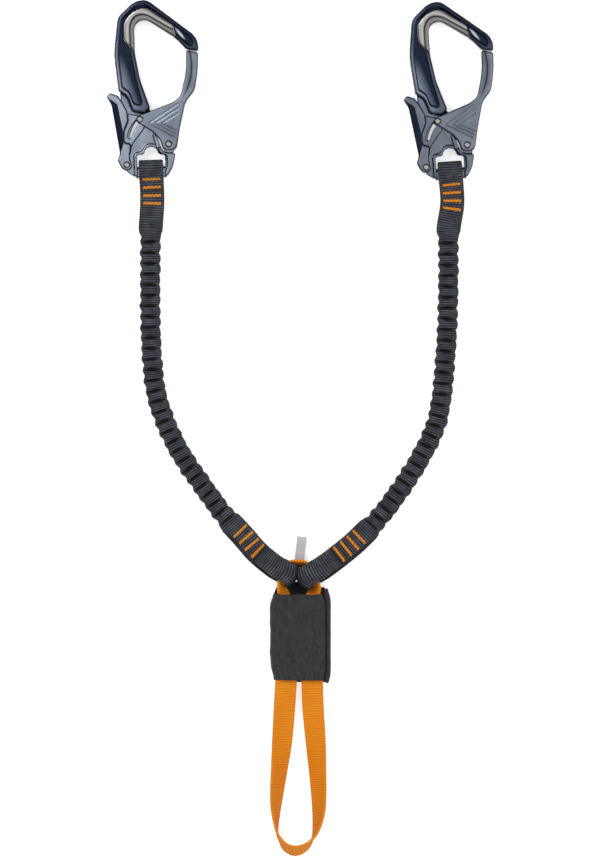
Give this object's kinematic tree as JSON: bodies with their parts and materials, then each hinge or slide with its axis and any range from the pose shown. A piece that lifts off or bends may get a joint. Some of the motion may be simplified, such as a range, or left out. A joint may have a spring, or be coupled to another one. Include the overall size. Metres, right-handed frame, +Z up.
{
  "type": "via ferrata lanyard",
  "caption": "Climbing lanyard with elastic webbing arms, palm-squeeze connectors, an energy absorber pouch and a tie-in loop, laid flat.",
  "frame": {"origin": "centre of the footprint on the surface that the lanyard lies on", "axes": "+Y from the tie-in loop to the connectors, +X to the right seen from above, +Z up"},
  "size_m": [0.3186, 0.7064, 0.0237],
  "materials": {
    "satin_alloy": "satin anodised",
    "steel": "brushed",
    "charcoal_webbing": "woven",
    "elastic_core": "matte",
    "orange_thread": "twisted thread",
    "orange_webbing": "woven",
    "charcoal_fabric": "woven",
    "pale_label": "coated"
  },
  "bodies": {
    "absorber": {"absorber_cover": "charcoal_fabric", "hook_and_loop_strip": "charcoal_fabric", "label_tab": "pale_label", "tear_pack": "charcoal_webbing", "tie_in_loop": "orange_webbing", "top_loop": "orange_webbing"},
    "arm_left": {"arm_webbing_left": "charcoal_webbing", "bar_tack_left_lower_1": "orange_thread", "bar_tack_left_lower_2": "orange_thread", "bar_tack_left_lower_3": "orange_thread", "bar_tack_left_lower_4": "orange_thread", "bar_tack_left_upper_1": "orange_thread", "bar_tack_left_upper_2": "orange_thread", "bar_tack_left_upper_3": "orange_thread", "bar_tack_left_upper_4": "orange_thread", "elastic_core_left": "elastic_core"},
    "carabiner_left": {"carabiner_frame_left": "satin_alloy", "gate_rivet_left": "steel", "lever_rivet_left": "steel", "wear_insert_left": "steel"},
    "gate_left": {"gate_left": "satin_alloy", "guide_pin_left": "steel", "gate_spring_left": "steel"},
    "lever_left": {"palm_lever_left": "satin_alloy", "lever_spring_left": "steel"},
    "arm_right": {"arm_webbing_right": "charcoal_webbing", "bar_tack_right_lower_1": "orange_thread", "bar_tack_right_lower_2": "orange_thread", "bar_tack_right_lower_3": "orange_thread", "bar_tack_right_lower_4": "orange_thread", "bar_tack_right_upper_1": "orange_thread", "bar_tack_right_upper_2": "orange_thread", "bar_tack_right_upper_3": "orange_thread", "bar_tack_right_upper_4": "orange_thread", "elastic_core_right": "elastic_core"},
    "carabiner_right": {"carabiner_frame_right": "satin_alloy", "gate_rivet_right": "steel", "lever_rivet_right": "steel", "wear_insert_right": "steel"},
    "gate_right": {"gate_right": "satin_alloy", "guide_pin_right": "steel", "gate_spring_right": "steel"},
    "lever_right": {"palm_lever_right": "satin_alloy", "lever_spring_right": "steel"}
  },
  "joints": [
    {"name": "arm_swing_left", "type": "hinge", "parent": "absorber", "child": "arm_left", "pos_m": [-0.00648, -0.11239, 0], "axis": [0, 0, 1], "range_deg": [0, 20]},
    {"name": "carabiner_lift_left", "type": "hinge", "parent": "arm_left", "child": "carabiner_left", "pos_m": [-0.12308, 0.21141, 0.0075], "axis": [0.9994, 0.0349, 0], "range_deg": [0, 135]},
    {"name": "gate_open_left", "type": "hinge", "parent": "carabiner_left", "child": "gate_left", "pos_m": [-0.10847, 0.23433, 0.0075], "axis": [0, 0, 1], "range_deg": [0, 28], "stiffness_Nm_per_rad": 0.5, "springref_deg": -17.19},
    {"name": "lever_press_left", "type": "hinge", "parent": "carabiner_left", "child": "lever_left", "pos_m": [-0.14289, 0.21702, 0.0075], "axis": [0, 0, -1], "range_deg": [0, 4], "stiffness_Nm_per_rad": 0.5, "springref_deg": -5.73},
    {"name": "arm_swing_right", "type": "hinge", "parent": "absorber", "child": "arm_right", "pos_m": [0.00552, -0.11239, 0], "axis": [0, 0, -1], "range_deg": [0, 20]},
    {"name": "carabiner_lift_right", "type": "hinge", "parent": "arm_right", "child": "carabiner_right", "pos_m": [0.12382, 0.21021, 0.0075], "axis": [0.9976, 0.0698, 0], "range_deg": [0, 135]},
    {"name": "gate_open_right", "type": "hinge", "parent": "carabiner_right", "child": "gate_right", "pos_m": [0.13762, 0.23363, 0.0075], "axis": [0, 0, 1], "range_deg": [0, 28], "stiffness_Nm_per_rad": 0.5, "springref_deg": -17.19},
    {"name": "lever_press_right", "type": "hinge", "parent": "carabiner_right", "child": "lever_right", "pos_m": [0.10383, 0.21513, 0.0075], "axis": [0, 0, -1], "range_deg": [0, 4], "stiffness_Nm_per_rad": 0.5, "springref_deg": -5.73}
  ],
  "couplings": [
    {"joint": "lever_press_left", "follows": "gate_open_left", "ratio": 0.14286},
    {"joint": "lever_press_right", "follows": "gate_open_right", "ratio": 0.14286}
  ]
}
